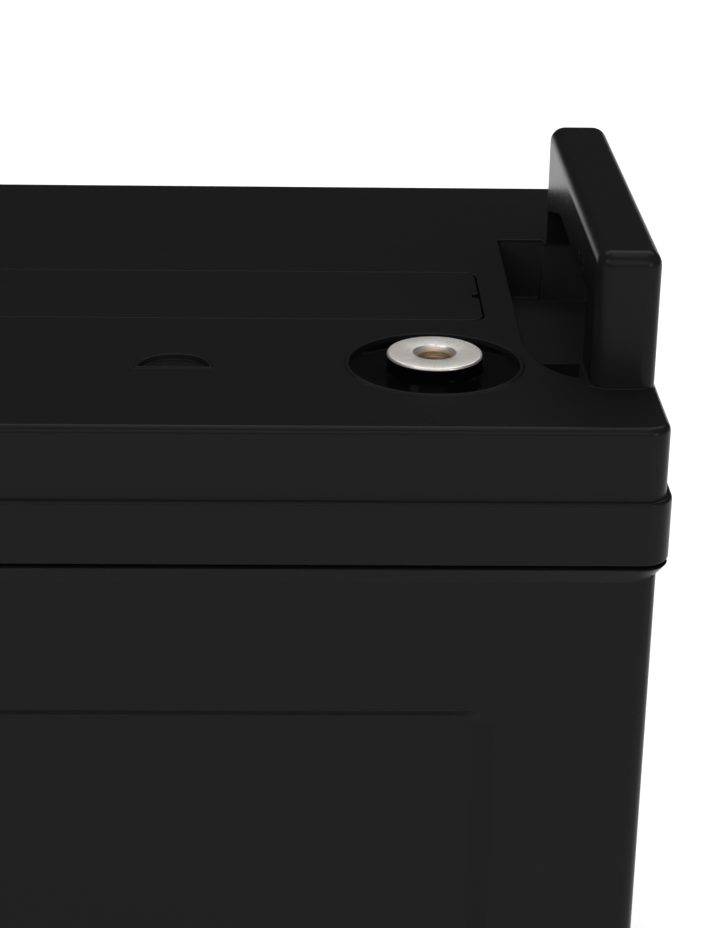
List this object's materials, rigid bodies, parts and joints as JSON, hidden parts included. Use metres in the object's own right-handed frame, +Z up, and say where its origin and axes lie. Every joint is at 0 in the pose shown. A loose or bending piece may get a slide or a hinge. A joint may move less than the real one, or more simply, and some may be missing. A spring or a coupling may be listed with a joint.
{
  "type": "battery pack",
  "caption": "Sealed block battery with moulded case, overhanging lid with carrying grips over finger pockets, flush vent cover and recessed threaded terminals.",
  "frame": {"origin": "centre of the block's length and depth, at the face that it stands on", "axes": "+X along the length towards the negative terminal, +Y from the terminal side to the back, +Z up"},
  "size_m": [0.33, 0.172, 0.2428],
  "materials": {
    "case_plastic": "semi-gloss moulded ABS, fine texture",
    "black_potting": "poured gloss epoxy",
    "red_potting": "poured gloss epoxy",
    "tinned_brass": "tin-plated, fine turned marks",
    "rubber": "matt",
    "lead": "dull cast lead",
    "positive_paste": "dull porous paste",
    "negative_paste": "dull porous paste",
    "glass_mat": "fibrous"
  },
  "bodies": {
    "root": {"case": "case_plastic", "cell_link_1": "lead", "cell_link_2": "lead", "cell_link_3": "lead", "cell_link_4": "lead", "cell_link_5": "lead", "lid": "case_plastic", "negative_plates_1": "negative_paste", "negative_plates_2": "negative_paste", "negative_plates_3": "negative_paste", "negative_plates_4": "negative_paste", "negative_plates_5": "negative_paste", "negative_plates_6": "negative_paste", "positive_plates_1": "positive_paste", "positive_plates_2": "positive_paste", "positive_plates_3": "positive_paste", "positive_plates_4": "positive_paste", "positive_plates_5": "positive_paste", "positive_plates_6": "positive_paste", "separator_1": "glass_mat", "separator_2": "glass_mat", "separator_3": "glass_mat", "separator_4": "glass_mat", "separator_5": "glass_mat", "separator_6": "glass_mat", "terminal_insert_negative": "tinned_brass", "terminal_insert_positive": "tinned_brass", "terminal_o_ring_negative": "rubber", "terminal_o_ring_positive": "rubber", "terminal_post_negative": "lead", "terminal_post_positive": "lead", "terminal_potting_negative": "black_potting", "terminal_potting_positive": "red_potting", "valve_cap_1": "rubber", "valve_cap_2": "rubber", "valve_cap_3": "rubber", "valve_cap_4": "rubber", "valve_cap_5": "rubber", "valve_cap_6": "rubber", "vent_cover": "case_plastic"}
  },
  "joints": []
}
